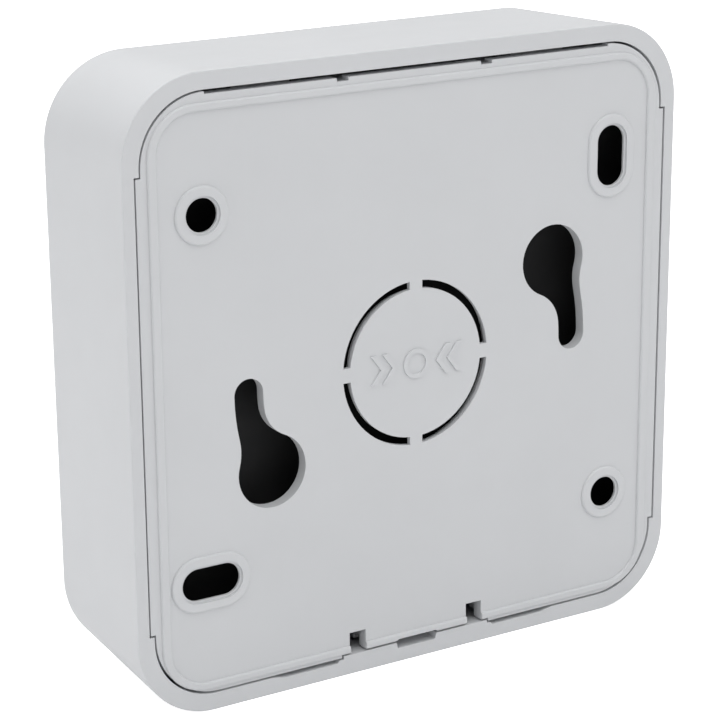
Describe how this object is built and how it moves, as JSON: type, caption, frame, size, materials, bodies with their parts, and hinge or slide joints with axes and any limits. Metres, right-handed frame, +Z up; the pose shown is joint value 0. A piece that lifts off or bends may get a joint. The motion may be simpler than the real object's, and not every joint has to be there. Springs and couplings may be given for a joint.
{
  "type": "manual call point",
  "caption": "Square surface-mounted call point: keyholed base plate, hinged clip-on housing, push-in plate with dropping flag, microswitch and keyed reset.",
  "frame": {"origin": "centre of the rear face that lies on the wall", "axes": "+Y into the wall, so the front faces -Y; +Z up; +X to the right seen from the front"},
  "size_m": [0.1, 0.03, 0.1],
  "materials": {
    "white_abs": "satin moulded ABS",
    "press_white": "satin moulded ABS",
    "black_abs": "fine matt texture",
    "black_mark": "flush two-shot inlay",
    "board": "solder mask over glass laminate",
    "terminal_green": "moulded polyamide",
    "zinc_steel": "bright zinc plate",
    "pin_steel": "ground",
    "spring_steel": "drawn wire",
    "tin_brass": "stamped",
    "switch_black": "moulded",
    "switch_red": "moulded",
    "led_red": "clear tinted epoxy",
    "clear_pc": "polished polycarbonate",
    "resistor": "lacquer",
    "capacitor": "sleeved can",
    "flag_yellow": "satin",
    "cam_grey": "acetal"
  },
  "bodies": {
    "base": {"base_plate": "white_abs"},
    "housing": {"front_housing": "white_abs", "chassis": "black_abs", "chassis_screws": "zinc_steel", "circuit_board": "board", "board_screws": "zinc_steel", "terminal_block": "terminal_green", "terminal_screws": "zinc_steel", "terminal_clamps": "tin_brass", "switch_body": "switch_black", "status_led": "led_red", "light_pipe": "clear_pc", "flag_lens": "clear_pc", "line_resistors": "resistor", "capacitor": "capacitor", "pivot_pin": "pin_steel", "press_spring": "spring_steel"},
    "press_plate": {"press_plate": "press_white", "press_mark": "black_mark"},
    "status_flag": {"status_flag": "flag_yellow"},
    "switch_lever": {"switch_lever": "spring_steel"},
    "switch_plunger": {"switch_plunger": "switch_red"},
    "reset_cam": {"reset_cam": "cam_grey"}
  },
  "joints": [
    {"name": "cover_tilt", "type": "hinge", "parent": "base", "child": "housing", "pos_m": [0, -0.0001, 0.05], "axis": [-1, 0, 0], "range_deg": [0, 12]},
    {"name": "press_plate_push", "type": "hinge", "parent": "housing", "child": "press_plate", "pos_m": [0, -0.023, 0.027], "axis": [1, 0, 0], "range_deg": [0, 5], "deforming": ["press_spring"]},
    {"name": "status_flag_drop", "type": "slide", "parent": "housing", "child": "status_flag", "axis": [0, 0, -1], "range_m": [0, 0.006]},
    {"name": "switch_lever_turn", "type": "hinge", "parent": "housing", "child": "switch_lever", "pos_m": [-0.0295, -0.0229, 0.012], "axis": [0, 0, 1], "range_deg": [0, 6]},
    {"name": "switch_plunger_travel", "type": "slide", "parent": "housing", "child": "switch_plunger", "axis": [0, 1, 0], "range_m": [0, 0.0005]},
    {"name": "reset_cam_turn", "type": "hinge", "parent": "housing", "child": "reset_cam", "pos_m": [0, -0.02, -0.044], "axis": [0, 0, 1], "range_deg": [0, 90]}
  ],
  "couplings": [
    {"joint": "status_flag_drop", "follows": "press_plate_push", "m_per_rad": 0.06761},
    {"joint": "switch_lever_turn", "follows": "press_plate_push", "ratio": 1.15},
    {"joint": "switch_plunger_travel", "follows": "press_plate_push", "m_per_rad": 0.00516}
  ]
}
